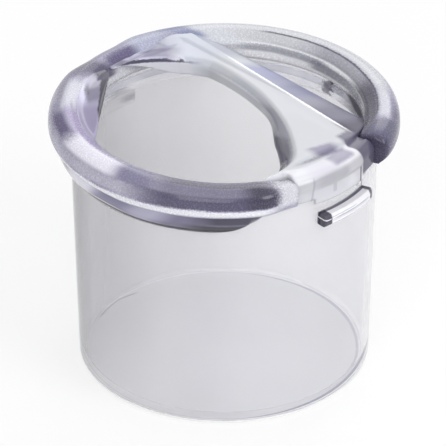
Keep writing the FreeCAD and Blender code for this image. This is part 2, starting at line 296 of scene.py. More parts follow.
def wall_finish(name, colour, clarity):
    """Clear cup: painted shade greys it to one side and darkens its left edge; a milky floor with a painted
    highlight ring and a painted shadow ring round it; a painted highlight and a painted dark line at the
    front foot, and a painted shade line beside the nose.
    """
    material = blank_material(name)
    tree = material.node_tree
    place, reach, level, turn, parts = measured(tree)
    slow, fine = wobble(tree, place, 0.03), wobble(tree, place, 0.0016)
    # Painted shade: the wall greys towards the left, on the rear wall more than on the front.
    wide = shifted(tree, parts["X"], slow, 0.006)
    tint = blend_colour(tree, ramp(tree, wide, -0.052, -0.018), tone(146, 145, 152), tone(212, 211, 216))
    tint = blend_colour(tree, ramp(tree, wide, -0.022, 0.026), tint, colour)
    back = ramp(tree, parts["Y"], -0.036, 0.036)
    tint = blend_colour(tree, blend_value(tree, back, 0.85, 0.0), tint, colour)
    lean = calc(tree, "MULTIPLY_ADD", level, -0.0247, reach)
    inner = times(tree, ramp(tree, lean, 45.7, 45.1), ramp(tree, level, 1.4, 2.2))
    tint = blend_colour(tree, times(tree, inner, 0.7), tint, (1.0, 1.0, 1.0))
    # Painted shade darkens the wall's left edge.
    shade_side = ramp(tree, parts["X"], -0.0430, -0.0472)
    tint = blend_colour(tree, times(tree, shade_side, 0.6), tint, tone(128, 127, 134))
    clear = times(tree, blend_value(tree, back, clarity, 0.64), blend_value(tree, shade_side, 1.0, 0.75))
    clear = calc(tree, "MAXIMUM", clear, times(tree, times(tree, back, ramp(tree, level, 70.0, 74.0)), 0.92))
    clear = calc(tree, "MAXIMUM", clear, times(tree, inner, 0.9))
    base = times(tree, ramp(tree, level, 0.8, 0.5), ramp(tree, reach, 44.6, 44.2))
    dip = times(tree, band(tree, turn, 131.4, 141.0, 0.7), ramp(tree, turn, 143.0, 131.0, 0.2, 1.7))
    ring = calc(tree, "ADD", shifted(tree, reach, fine, 0.1), dip)
    milk = blend_colour(tree, ramp(tree, slow, 0.35, 0.65), tone(220, 220, 224), tone(226, 226, 230))
    milk = blend_colour(tree, ramp(tree, parts["X"], 0.0, -0.040), milk, (1.0, 1.0, 1.0))
    tint = blend_colour(tree, base, tint, milk)
    # Painted shadow just inside the ring of the base seen through the floor, stronger to the right.
    side = ramp(tree, parts["X"], -0.012, 0.03, 0.4, 1.0)
    heavy = ramp(tree, parts["X"], 0.0, 0.035, 43.2, 42.4)
    shadow = times(tree, times(tree, ramp(tree, calc(tree, "SUBTRACT", ring, heavy),
                                          -0.15, 0.15), ramp(tree, ring, 43.7, 43.5)), base)
    # A darker stretch on the ring at the rear left.
    notch = times(tree, band(tree, turn, 133.0, 158.0, 2.0),
        times(tree, band(tree, ring, 43.3, 43.9, 0.1), base))
    tint = blend_colour(tree, times(tree, shadow, side), tint, tone(150, 148, 172))
    # Painted highlight: the bright ring of the base's edge seen through the floor.
    tint = blend_colour(tree, times(tree, band(tree, ring, 43.6, 44.15, 0.1), base), tint, (1.0, 1.0, 1.0))
    tint = blend_colour(tree, times(tree, notch, 0.85), tint, tone(120, 118, 132))
    # Painted highlight along the front foot, over a painted darker line at its bottom edge.
    foot = times(tree, ramp(tree, lean, 45.1, 45.7), ramp(tree, parts["Y"], 0.006, -0.006))
    tint = blend_colour(tree, times(tree, foot, band(tree, level, 0.55, 1.1, 0.12)), tint, (1.0, 1.0, 1.0))
    tint = blend_colour(tree, times(tree, foot, ramp(tree, level, 0.45, 0.25)), tint, tone(150, 150, 156))
    # Painted shade: a dark vertical line beside the front lug, where the nose's end edge shows.
    painted_edge_shade = times(tree, band(tree, turn, -28.3, -27.7, 0.1), band(tree, level, 72.4, 78.0, 0.2))
    tint = blend_colour(tree, times(tree, painted_edge_shade, 0.9), tint, tone(96, 95, 108))
    mark = calc(tree, "MAXIMUM", base, times(tree, foot, ramp(tree, level, 1.2, 1.0)))
    mark = calc(tree, "MAXIMUM", mark, painted_edge_shade)
    clear = times(tree, clear, blend_value(tree, mark, 1.0, 0.15))
    shade(tree, tint, ramp(tree, fine, 0.3, 0.7, 0.03, 0.08), clear, fine, 0.03, 0.0002, 1.06, 0.5)
    return material


def lug_finish(name, colour):
    """Clear lug with painted shade along its edges, at its ends and where it meets the wall, and a painted
    highlight on its face.
    """
    material = blank_material(name)
    tree = material.node_tree
    place, reach, level, turn, parts = measured(tree)
    fine = wobble(tree, place, 0.0012)
    tint = blend_colour(tree, ramp(tree, wobble(tree, place, 0.004), 0.35, 0.65), [v * 0.96 for v in colour],
        colour)
    front = ramp(tree, parts["Y"], 0.001, -0.001)
    own = blend_value(tree, front, 140.0, -40.0)
    off = calc(tree, "SUBTRACT", turn, own)
    off = shifted(tree, off, fine, 0.5)
    tall = shifted(tree, level, fine, 0.25)
    # Painted shade along the lug's edges, facet line and right end, over a painted highlight band on its
    # upper face.
    dark, mid = (52, 50, 66), (150, 148, 166)
    tint = patches(tree, tint, off, tall, (
        (-10.0, 10.0, 70.1, 71.0, 2.0, 0.3, 0.0, (214, 213, 224), 0.8),
        (-8.0, 9.0, 70.85, 71.05, 2.0, 0.08, 0.0, dark, 0.7),
        (-11.0, 2.0, 71.55, 71.75, 1.0, 0.08, 0.0, mid, 0.7),
        (0.0, 14.0, 68.0, 69.0, 1.0, 0.12, 0.0, dark, 0.85),
        (10.9, 14.0, 67.0, 73.5, 0.35, 0.3, 0.0, dark, 0.85),
    ))
    # Painted shade on the front lug where it meets the wall.
    back = times(tree, ramp(tree, reach, 49.3, 48.9), front)
    tint = blend_colour(tree, times(tree, back, 0.9), tint, tone(92, 88, 112))
    # Painted shade at the left end, with a painted highlight on it.
    tint = patches(tree, tint, off, tall, (
        (-14.0, -10.0, 67.0, 73.5, 0.35, 0.3, 0.0, dark, 0.92),
        (-13.4, -10.4, 71.0, 71.4, 0.2, 0.1, 0.3, (240, 240, 250), 0.9),
    ))
    cloud = patches(tree, rgba((1.0, 1.0, 1.0)), shifted(tree, off, wobble(tree, place, 0.003), 4.0), tall, (
        (-14.0, -6.0, 69.4, 71.8, 3.0, 1.0, 0.0, (150, 148, 162), 0.8),
    ))
    tint = blend_colour(tree, front, cloud, tint)
    clear = blend_value(tree, front, 0.95, 0.2)
    shade(tree, tint, ramp(tree, fine, 0.3, 0.7, 0.06, 0.16), clear, fine, 0.1, 0.0002, 1.05, 0.3)
    return material


# Tint, painted shade and painted highlights on the frosted rim, by turn and by way along the section.
RIM_TINT_SHADE_AND_HIGHLIGHTS = (
    (45.0, 140.0, -1.0, 6.4, 4.0, 0.2, 0.0, (240, 240, 244), 0.95),
    (86.0, 137.0, 3.0, 5.6, 5.0, 0.5, 0.0, (156, 158, 167), 0.85),
    (56.0, 94.0, 1.2, 4.6, 5.0, 0.6, 0.0, (128, 128, 140), 0.85),
    (30.0, 66.0, -1.0, 4.2, 6.0, 0.8, -3.0, (96, 94, 108), 0.9),
    (128.0, 240.0, -1.0, 6.0, 6.0, 0.2, 0.0, (216, 216, 222), 0.95),
    (14.0, 66.0, 4.8, 10.1, 8.0, 0.6, 0.0, (82, 80, 94), 0.92),
    (62.0, 100.0, 6.2, 10.0, 10.0, 0.5, 0.0, (166, 166, 174), 0.88),
    (96.0, 140.0, 6.2, 14.0, 10.0, 0.5, 0.0, (204, 205, 209), 0.9),
    (34.0, 118.0, 10.1, 10.75, 5.0, 0.3, 0.0, (70, 70, 82), 0.9),
    (34.0, 52.0, 10.9, 14.4, 3.0, 0.6, 0.0, (196, 197, 208), 0.95),
    (52.0, 130.0, 10.9, 15.5, 8.0, 0.4, 0.0, (204, 205, 211), 0.9),
    (14.0, 31.5, 6.0, 20.0, 1.6, 1.0, 0.3, (96, 94, 118), 0.9),
    (14.0, 44.0, 15.4, 22.5, 6.0, 1.2, 0.0, (96, 94, 116), 0.85),
    (128.0, 148.0, 5.0, 22.0, 8.0, 1.0, 0.0, (210, 212, 219), 0.95),
    (146.0, 156.0, 7.5, 16.0, 2.5, 1.0, 1.4, (134, 140, 172), 0.9),
    (157.0, 176.0, 5.0, 22.0, 4.0, 1.0, 0.0, (176, 179, 200), 0.95),
    (174.0, 190.0, 10.4, 22.0, 4.0, 1.0, 0.0, (156, 152, 176), 0.9),
    (172.0, 188.0, 5.0, 10.6, 3.0, 1.0, 0.0, (96, 89, 122), 0.92),
    (188.0, 198.0, 3.0, 12.0, 3.0, 0.8, 0.8, (84, 79, 104), 0.92),
    (190.0, 202.0, 12.0, 18.0, 4.0, 1.0, 0.0, (128, 126, 138), 0.85),
    (198.0, 207.0, 4.0, 9.0, 2.0, 0.8, 1.0, (214, 214, 226), 0.9),
    (205.0, 228.0, 8.0, 13.4, 4.0, 0.7, 0.0, (206, 206, 218), 0.9),
    (206.0, 222.0, 13.0, 15.2, 3.0, 0.6, 0.0, (148, 146, 160), 0.75),
    (222.0, 231.0, 9.6, 10.4, 3.0, 0.4, -2.0, (110, 108, 126), 0.6),
    (226.0, 262.0, 5.0, 12.4, 6.0, 1.2, 0.0, (158, 146, 184), 0.9),
    (229.0, 246.0, 12.9, 16.8, 4.0, 1.0, -0.6, (88, 78, 116), 0.93),
    (247.0, 274.0, 11.2, 17.2, 4.0, 1.0, 0.0, (238, 236, 247), 0.95),
    (276.0, 290.0, 10.0, 17.4, 3.0, 1.0, 0.0, (126, 123, 150), 0.9),
    (290.0, 332.0, 9.0, 17.2, 6.0, 0.6, 0.0, (122, 118, 138), 0.88),
    (252.0, 284.0, 17.8, 21.4, 6.0, 0.6, 0.0, (184, 181, 197), 0.88),
    (286.0, 334.0, 17.0, 22.0, 10.0, 0.5, 0.0, (78, 74, 98), 0.92),
    (320.0, 331.0, 13.0, 22.0, 4.0, 0.7, 0.0, (66, 63, 80), 0.9),
    (292.0, 331.0, 10.9, 13.2, 6.0, 0.4, 0.0, (80, 77, 95), 0.9),
    (232.0, 330.0, 22.5, 26.4, 6.0, 0.4, 0.0, (230, 230, 238), 1.0),
    (331.5, 342.0, 5.0, 24.0, 3.0, 1.0, 0.0, (204, 204, 212), 0.95),
    (10.0, 22.4, -5.0, 40.0, 0.8, 1.0, 0.0, (70, 66, 86), 0.95),
)


def rim_finish(name, colours, sizes):
    """Frosted rim: patches of tint, painted shade and painted highlights that follow the section round, with
    ragged, grainy edges.
    """
    material = blank_material(name)
    tree = material.node_tree
    place = add(tree, "ShaderNodeTexCoord").outputs["Object"]
    grain = wobble(tree, place, sizes.grain, 2.0, 0.6)
    slow = wobble(tree, place, 0.012, 2.0)
    map_point = add(tree, "ShaderNodeSeparateXYZ",
        {0: add(tree, "ShaderNodeUVMap", uv_map="turned").outputs[0]}).outputs
    round_rim = calc(tree, "MULTIPLY", map_point["X"], 360.0)
    along = calc(tree, "MULTIPLY", map_point["Y"], 40.0)
    round_rim = shifted(tree, shifted(tree, round_rim, slow, 4.0), grain, 1.3)
    along = shifted(tree, shifted(tree, along, slow, 0.4), grain, 0.5)
    tint = blend_colour(tree, ramp(tree, slow, 0.4, 0.6), colours.rim, colours.rim_light)
    tint = patches(tree, tint, round_rim, along, RIM_TINT_SHADE_AND_HIGHLIGHTS)
    speck = ramp(tree, grain, 0.36, 0.64, 0.96, 1.03)
    tint = add(tree, "ShaderNodeMix", {"Factor": 1.0, 6: tint, 7: speck}, data_type="RGBA",
        blend_type="MULTIPLY").outputs[2]
    rough = ramp(tree, grain, 0.3, 0.7, 0.20, 0.30)
    shade(tree, tint, rough, 0.12, grain, 0.05, 0.0002, 1.3, 0.25)
    return material


def collar_finish(name, colour):
    """Tinted collar, smoother than the rim, with painted highlights and painted shade round it and a painted
    dark line at its foot under a painted pale line.
    """
    material = blank_material(name)
    tree = material.node_tree
    place, _, level, turn, _ = measured(tree)
    cloud = ramp(tree, wobble(tree, place, 0.02), 0.35, 0.65)
    tint = blend_colour(tree, cloud, colour, [v * 1.2 for v in colour])
    swing = calc(tree, "ADD", turn, 360.0)
    swing = calc(tree, "MODULO", swing, 180.0)
    fine = wobble(tree, place, 0.0015)
    edge = shifted(tree, level, fine, 0.2)
    edge = calc(tree, "SUBTRACT", edge, ramp(tree, swing, 64.0, 42.0, 0.0, 1.5))
    # Painted highlights and painted shade round the collar, and a painted dark line at its foot under a
    # painted pale line.
    tint = patches(tree, tint, swing, edge, (
        (10.0, 28.0, 70.0, 82.0, 5.0, 0.5, 0.0, (160, 159, 172), 0.85),
        (24.0, 41.0, 70.0, 82.0, 4.0, 0.5, 1.0, (220, 219, 231), 0.92),
        (40.0, 58.0, 70.0, 82.0, 5.0, 0.8, 1.5, (122, 119, 144), 0.9),
        (58.0, 68.0, 75.5, 82.0, 4.0, 0.8, 1.0, (172, 170, 190), 0.88),
        (60.0, 80.0, 70.0, 75.5, 8.0, 0.8, 1.0, (140, 137, 160), 0.85),
        (68.0, 84.0, 70.0, 82.0, 5.0, 0.8, 1.0, (112, 108, 132), 0.9),
        (82.0, 130.0, 76.0, 82.0, 6.0, 0.8, 0.0, (66, 64, 78), 0.95),
        (78.0, 130.0, 70.0, 76.0, 6.0, 0.8, 0.0, (50, 49, 58), 0.95),
        (20.0, 52.0, 73.95, 74.35, 5.0, 0.12, 0.0, (225, 225, 234), 0.85),
        (0.0, 140.0, 72.5, 73.9, 5.0, 0.12, 0.0, (12, 12, 16), 0.98),
        (0.0, 62.0, 66.0, 72.5, 5.0, 0.12, 0.0, (166, 165, 170), 0.97),
    ))
    far = ramp(tree, turn, 26.0, 44.0)
    tint = blend_colour(tree, times(tree, far, 0.97), tint, tone(250, 250, 252))
    clear = blend_value(tree, far, 0.12, 0.97)
    shade(tree, tint, ramp(tree, fine, 0.3, 0.7, 0.06, 0.14), clear, fine, 0.05, 0.0002, 1.2, 0.4)
    return material


# Tint, painted shade and painted highlights on the bar and its slope.
BAR_TINT_SHADE_AND_HIGHLIGHTS = (
    (-50.0, -20.0, 8.0, 34.0, 6.0, 2.0, 0.0, (190, 194, 206), 0.95),
    (-24.0, 46.0, -12.0, 19.3, 6.0, 0.3, 0.0, (197, 199, 205), 0.92),
    (-14.0, 0.0, 20.1, 36.0, 4.0, 0.3, 0.0, (172, 175, 208), 0.92),
    (-2.0, 18.0, 20.1, 36.0, 8.0, 0.3, 0.0, (134, 136, 168), 0.94),
    (16.0, 50.0, 20.1, 36.0, 8.0, 0.4, 0.0, (104, 102, 126), 0.95),
    (32.0, 50.0, 19.0, 36.0, 3.0, 1.0, 0.0, (72, 69, 90), 0.95),
    (38.6, 52.0, 14.5, 21.0, 1.2, 1.0, 0.0, (88, 85, 106), 0.92),
    (38.5, 43.8, 2.5, 11.0, 1.2, 2.0, 0.25, (118, 112, 140), 0.85),
)
# Painted shade and a painted highlight on the large opening's wall.
OPENING_WALL_SHADE_AND_HIGHLIGHTS = (
    (-20.0, 12.0, 82.0, 87.0, 6.0, 0.5, 0.0, (244, 245, 248), 0.9),
    (19.0, 39.0, 82.0, 88.3, 2.5, 0.8, 2.6, (84, 81, 98), 0.9),
    (6.0, 28.0, 86.4, 88.6, 5.0, 0.5, 1.5, (136, 135, 148), 0.85),
    (-10.0, 8.0, 87.4, 88.6, 5.0, 0.4, 0.0, (180, 182, 192), 0.7),
)
# Tint, painted shade and painted highlights on the webs.
WEB_TINT_SHADE_AND_HIGHLIGHTS = (
    (-50.0, -36.0, -30.0, 2.0, 2.0, 5.0, 0.0, (140, 132, 162), 0.9),
    (-47.2, -46.4, -14.0, 2.0, 0.3, 3.0, -0.12, (104, 98, 126), 0.7),
    (-43.0, -38.6, 2.0, 14.0, 0.8, 3.0, -0.05, (114, 109, 132), 0.85),
    (-43.0, -39.6, 12.0, 21.0, 0.8, 2.0, -0.08, (176, 174, 188), 0.85),
    (-49.0, -45.0, 3.0, 10.0, 0.8, 2.0, -0.1, (170, 166, 188), 0.9),
    (-49.0, -44.0, 10.0, 18.0, 0.8, 2.0, -0.1, (216, 216, 226), 0.9),
    (-43.6, -42.2, 8.0, 13.0, 0.4, 2.0, -0.1, (100, 97, 112), 0.8),
    (-42.0, -35.0, 19.0, 34.0, 1.5, 3.0, 0.0, (86, 81, 106), 0.92),
    (-36.5, -30.0, 27.0, 36.0, 1.5, 1.0, 0.25, (112, 107, 126), 0.88),
    (-31.0, -10.0, 34.0, 52.0, 3.0, 1.5, 0.3, (160, 161, 181), 0.9),
    (-22.0, -8.0, 38.5, 46.0, 3.0, 2.0, 0.0, (190, 193, 205), 0.8),
    (-26.5, -13.0, 30.0, 36.5, 2.0, 1.0, 0.3, (126, 122, 146), 0.85),
    (-31.5, -25.5, 31.0, 34.6, 1.2, 0.7, 0.3, (190, 188, 206), 0.9),
    (-39.0, -35.0, -26.0, 18.0, 0.35, 2.0, -0.012, (46, 43, 56), 0.95),
    (-40.4, -35.0, 16.0, 26.0, 0.5, 1.0, 0.0, (80, 76, 96), 0.95),
)


def sleeve_finish(name):
    """Clear sleeve with a painted shade patch and painted pale and dark streaks near the nose."""
    material = blank_material(name)
    tree = material.node_tree
    place, _, level, turn, _ = measured(tree)
    fine, slow = wobble(tree, place, 0.0008), wobble(tree, place, 0.01)
    tint = blend_colour(tree, ramp(tree, slow, 0.35, 0.65), (0.90, 0.90, 0.93), (0.96, 0.96, 0.98))
    turn, level = shifted(tree, shifted(tree, turn, fine, 2.5), slow, 3.0), shifted(tree, level, fine, 0.8)
    # Painted shade patch and painted streaks near the nose.
    tint = patches(tree, tint, turn, level, (
        (8.0, 34.0, 77.6, 90.0, 3.0, 0.8, 2.0, (66, 64, 80), 0.92),
        (32.0, 44.0, 78.4, 80.2, 3.0, 0.6, 0.0, (170, 169, 182), 0.6),
        (40.0, 44.5, 76.0, 80.6, 1.0, 0.6, 0.0, (120, 118, 134), 0.8),
    ))
    glass = ramp(tree, add(tree, "ShaderNodeRGBToBW", {0: tint}).outputs[0], 0.2, 0.85, 0.1, 0.94)
    shade(tree, tint, ramp(tree, fine, 0.3, 0.7, 0.1, 0.2), glass, fine, 0.03, 0.0002, 1.03)
    return material


def top_tint(tree, colours):
    """Tint and clarity of the lid's top: handle, slope, nose and webs, with their painted shade and painted
    highlights, and the noise of their grain.
    """
    place, reach, level, turn, parts = measured(tree)
    grain = wobble(tree, place, 0.0006, 2.0, 0.6)
    slow = wobble(tree, place, 0.01, 2.0)

    def measure(axis):
        return add(tree, "ShaderNodeVectorMath", {0: place, 1: axis},
            operation="DOT_PRODUCT").outputs["Value"]

    def both(*masks):
        result = masks[0]
        for mask in masks[1:]:
            result = times(tree, result, mask)
        return result

    across = measure((1000 * math.cos(HANDLE_LIE), 1000 * math.sin(HANDLE_LIE), 0.0))
    along = measure((1000 * math.sin(HANDLE_LIE), -1000 * math.cos(HANDLE_LIE), 0.0))
    leaned = calc(tree, "MULTIPLY_ADD", along, SLOPE_LEAN, across)
    leaned = shifted(tree, leaned, grain, 0.35)
    ragged = shifted(tree, shifted(tree, along, grain, 0.8), slow, 2.0)
    tint = blend_colour(tree, ramp(tree, slow, 0.35, 0.65), [v * 0.96 for v in colours.handle],
        colours.handle)
    # Painted shade and painted highlights on the bar and its slope.
    tint = patches(tree, tint, ragged, leaned, BAR_TINT_SHADE_AND_HIGHLIGHTS)
    # Painted highlight: a white line along the slope's edge.
    line = both(band(tree, leaned, 19.5, 20.2, 0.15), band(tree, along, -20.0, 37.0, 4.0))
    tint = blend_colour(tree, line, tint, (1.0, 1.0, 1.0))
    # Painted shade and a painted highlight on the large opening's wall.
    sides = patches(tree, tint, ragged, shifted(tree, level, grain, 0.5), OPENING_WALL_SHADE_AND_HIGHLIGHTS)
    edge = both(ramp(tree, across, 17.0, 16.0), ramp(tree, reach, 43.5, 42.5),
        ramp(tree, level, 88.75, 88.35))
    tint = blend_colour(tree, edge, tint, sides)
    nose = both(ramp(tree, along, 39.0, 41.0), ramp(tree, reach, 43.6, 44.6))
    swing = calc(tree, "ADD", turn, 43.5)
    # Painted shade and painted highlights on the nose.
    clear = patches(tree, tint, swing, shifted(tree, level, grain, 0.2), (
        (-24.0, 18.0, 60.0, 90.0, 3.0, 1.0, 0.0, (228, 228, 234), 0.95),
        (-12.0, 8.0, 83.6, 86.4, 4.0, 0.6, 0.0, (206, 205, 213), 0.8),
        (3.0, 10.5, 79.0, 90.0, 2.0, 1.0, 0.0, (242, 241, 248), 0.8),
        (-2.0, 9.0, 87.2, 90.0, 1.5, 0.4, 0.0, (124, 118, 146), 0.8),
        (-14.4, -13.6, 77.6, 86.5, 0.2, 0.4, 0.2, (176, 176, 186), 0.8),
        (-5.0, -3.4, 79.8, 82.6, 0.2, 0.2, 0.0, (190, 190, 200), 0.7),
        (-12.0, 14.0, 82.6, 83.6, 3.0, 0.3, 0.0, (206, 206, 214), 0.6),
        (-14.0, -2.0, 86.6, 88.2, 3.0, 0.5, 0.0, (214, 212, 224), 0.6),
        (10.4, 24.0, 60.0, 80.2, 0.2, 0.3, 0.0, (238, 238, 243), 0.9),
        (9.5, 10.4, 60.0, 83.0, 0.1, 0.3, 0.0, (84, 84, 100), 0.95),
        (11.2, 26.0, 79.4, 92.0, 0.5, 0.6, 0.0, (80, 77, 98), 0.95),
    ))
    tint = blend_colour(tree, nose, tint, clear)

    def wide(value):
        scaled = calc(tree, "MULTIPLY", value, 1000.0)
        return shifted(tree, shifted(tree, scaled, slow, 1.2), grain, 0.5)

    x, y = wide(parts["X"]), wide(parts["Y"])
    mottled = blend_colour(tree, ramp(tree, slow, 0.42, 0.58), colours.web, [v * 1.15 for v in colours.web])
    # Painted shade and painted highlights on the webs.
    web = patches(tree, mottled, x, y, WEB_TINT_SHADE_AND_HIGHLIGHTS)
    tint = blend_colour(tree, ramp(tree, x, -11.0, -19.0), tint, web)
    ring = add(tree, "ShaderNodeVectorMath", {0: place, 1: (-REAR_ARC[0], -REAR_ARC[1], 0.0)},
        operation="ADD").outputs[0]
    ring = add(tree, "ShaderNodeVectorMath", {0: ring, 1: (1000.0, 1000.0, 0.0)},
        operation="MULTIPLY").outputs[0]
    ring = add(tree, "ShaderNodeVectorMath", {0: ring}, operation="LENGTH").outputs["Value"]
    ring = shifted(tree, ring, grain, 0.25)
    high = shifted(tree, level, grain, 0.3)
    # Painted highlight and painted shade along the large opening's edge.
    bound = ramp(tree, x, -16.0, -23.0, 36.95, 37.9)
    near = both(ramp(tree, calc(tree, "SUBTRACT", ring, bound), 0.15, -0.15),
                ramp(tree, y, 19.0, 22.0))
    tint = blend_colour(tree, both(near, ramp(tree, x, 0.0, -14.0), ramp(tree, high, 87.6, 87.2)), tint,
        tone(204, 205, 212))
    tint = blend_colour(tree, both(near, ramp(tree, x, -5.0, -16.0), ramp(tree, high, 87.4, 87.8),
        ramp(tree, high, 88.9, 88.6)),
                        tint, tone(84, 82, 96))
    glass = ramp(tree, add(tree, "ShaderNodeRGBToBW", {0: tint}).outputs[0], 0.15, 0.7, 0.1, 0.5)
    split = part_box("rear_web")[1].x
    glass = times(tree, glass, ramp(tree, parts["X"], split + 0.002, split + 0.016))
    glass = times(tree, glass, ramp(tree, level, 85.8, 87.4, 1.0, 0.3))
    return tint, glass, grain


def handle_finish(name, colours):
    """Clear, slightly milky handle with a tinted slope darkened by painted shade, a painted highlight line,
    and painted shade at the large opening's edge.
    """
    material = blank_material(name)
    tree = material.node_tree
    tint, glass, grain = top_tint(tree, colours)
    shade(tree, tint, ramp(tree, grain, 0.3, 0.7, 0.08, 0.16), glass, grain, 0.05, 0.0002, 1.2, 0.35)
    return material


def web_finish(name, colours):
    """Tinted web, glossy, with painted shade along its edge and painted highlight streaks."""
    material = blank_material(name)
    tree = material.node_tree
    tint, glass, grain = top_tint(tree, colours)
    shade(tree, tint, ramp(tree, grain, 0.3, 0.7, 0.08, 0.18), glass, grain, 0.05, 0.0002, 1.2, 0.35)
    return material


# ---------------------------------------------------------------- shapes


def arc_points(start, middle, end, steps):
    """Points on the circle through three points of a section, the first one left out."""
    ax, ay = start
    bx, by = middle
    cx, cy = end
    d = 2.0 * (ax * (by - cy) + bx * (cy - ay) + cx * (ay - by))
    ux = ((ax**2 + ay**2) * (by - cy) + (bx**2 + by**2) * (cy - ay) + (cx**2 + cy**2) * (ay - by)) / d
    uy = ((ax**2 + ay**2) * (cx - bx) + (bx**2 + by**2) * (ax - cx) + (cx**2 + cy**2) * (bx - ax)) / d
    radius = math.hypot(ax - ux, ay - uy)
    first = math.atan2(ay - uy, ax - ux)
    turn_mid = (math.atan2(by - uy, bx - ux) - first) % math.tau
    turn_end = (math.atan2(cy - uy, cx - ux) - first) % math.tau
    if turn_mid > turn_end:
        turn_end -= math.tau
    angles = [first + turn_end * i / steps for i in range(1, steps + 1)]
    return [(ux + radius * math.cos(angle), uy + radius * math.sin(angle)) for angle in angles]


def corner_points(start, end, side, steps):
    """Quarter round between two points of a section."""
    x = (start[0] + end[0]) / 2 + (end[1] - start[1]) * 0.207 * side
    y = (start[1] + end[1]) / 2 - (end[0] - start[0]) * 0.207 * side
    return arc_points(start, (x, y), end, steps)


def line_points(start, end, steps):
    return [
        (start[0] + (end[0] - start[0]) * i / steps, start[1] + (end[1] - start[1]) * i / steps)
        for i in range(1, steps + 1)
    ]


def turned_tree():
    """Geometry Nodes tree that turns a closed section about the Z axis."""
    tree = bpy.data.node_groups.new("turned_section", "GeometryNodeTree")
    sockets = {}
    for name, kind, value in (
        ("Section", "NodeSocketGeometry", None), ("Segments", "NodeSocketInt", 288),
        ("Start", "NodeSocketFloat", 0.0), ("Span", "NodeSocketFloat", math.tau),
        ("Finish", "NodeSocketMaterial", None),
    ):
        socket = tree.interface.new_socket(name, in_out="INPUT", socket_type=kind)
        if value is not None:
            socket.default_value = value
        sockets[name] = socket.identifier
    tree.interface.new_socket("Geometry", in_out="OUTPUT", socket_type="NodeSocketGeometry")
    given = add(tree, "NodeGroupInput").outputs
    count = add(tree, "GeometryNodeAttributeDomainSize", {0: given["Section"]}).outputs["Point Count"]

    def whole(operation, first, second):
        return add(tree, "FunctionNodeIntegerMath", {0: first, 1: second}, operation=operation).outputs[0]

    def real(operation, first, second=0.0):
        return calc(tree, operation, first, second)

    rows = whole("ADD", count, 1)
    columns = whole("ADD", given["Segments"], 1)
    grid = add(tree, "GeometryNodeMeshGrid", {"Vertices X": columns, "Vertices Y": rows}).outputs["Mesh"]
    index = add(tree, "GeometryNodeInputIndex").outputs[0]
    row = whole("MODULO", whole("MODULO", index, rows), count)
    column = whole("DIVIDE_FLOOR", index, rows)
    position = add(tree, "GeometryNodeInputPosition").outputs[0]
    sample = add(tree, "GeometryNodeSampleIndex", {"Geometry": given["Section"], "Index": row},
                 data_type="FLOAT_VECTOR", domain="POINT")
    tree.links.new(position, next(s for s in sample.inputs if s.name == "Value" and s.type == "VECTOR"))
    placed = next(s for s in sample.outputs if s.type == "VECTOR")
    parts = add(tree, "ShaderNodeSeparateXYZ", {0: placed}).outputs
    share = real("DIVIDE", column, given["Segments"])
    angle = real("ADD", given["Start"], real("MULTIPLY", given["Span"], share))
    where = add(tree, "ShaderNodeCombineXYZ", {
        0: real("MULTIPLY", parts["X"], real("COSINE", angle)),
        1: real("MULTIPLY", parts["X"], real("SINE", angle)), 2: parts["Z"]}).outputs[0]
    turned = add(tree, "GeometryNodeSetPosition", {"Geometry": grid, "Position": where}).outputs[0]
    merged = add(tree, "GeometryNodeMergeByDistance", {"Geometry": turned, "Distance": 1e-6}).outputs[0]
    smooth = add(tree, "GeometryNodeSetShadeSmooth", {"Geometry": merged}).outputs[0]
    plain = add(tree, "GeometryNodeRealizeInstances", {"Geometry": smooth}).outputs[0]
    dressed = add(tree, "GeometryNodeSetMaterial",
        {"Geometry": plain, "Material": given["Finish"]}).outputs[0]
    add(tree, "NodeGroupOutput", {0: dressed})
    return tree, sockets


def turned(name, section, segments, material, start=0.0, span=math.tau):
    """Mesh of a closed section, given as radius and height, turned about the Z axis."""
    mesh = bpy.data.meshes.new(name + "_section")
    mesh.from_pydata([(r, 0.0, z) for r, z in section], [], [])
    shape = bpy.data.objects.new(name + "_section", mesh)
    bpy.context.scene.collection.objects.link(shape)
    tree, sockets = turned_tree()
    modifier = shape.modifiers.new("Turned section", "NODES")
    modifier.node_group = tree
    modifier[sockets["Segments"]] = segments
    modifier[sockets["Start"]] = start
    modifier[sockets["Span"]] = span
    modifier[sockets["Finish"]] = material
    result = evaluated(shape, name)
    close(result)
    return result


def evaluated(shape, name):
    """Plain mesh of an object's evaluated state. The object is removed."""
    graph = bpy.context.evaluated_depsgraph_get()
    result = bpy.data.meshes.new_from_object(shape.evaluated_get(graph), depsgraph=graph)
    result.name = name
    mesh = shape.data
    shape.modifiers.clear()
    bpy.data.objects.remove(shape)
    bpy.data.meshes.remove(mesh)
    return result


def unroll(mesh, section, angle):
    """Writes a UV map: the turn as a share of a circle, and the way along the section in 40 mm units."""
    lengths = [0.0]
    for (r1, z1), (r2, z2) in zip(section, section[1:]):
        lengths.append(lengths[-1] + math.hypot(r2 - r1, z2 - z1))
    found = {}
    for vertex in mesh.vertices:
        span = math.hypot(vertex.co.x, vertex.co.y)
        gaps = [(r - span) ** 2 + (z - vertex.co.z) ** 2 for r, z in section]
        near = gaps.index(min(gaps))
        sweep = (math.atan2(vertex.co.y, vertex.co.x) - angle) % math.tau / math.tau
        found[vertex.index] = (sweep, lengths[near] / (40 * MM))
    layer = mesh.uv_layers.new(name="turned")
    for loop in mesh.loops:
        layer.data[loop.index].uv = found[loop.vertex_index]


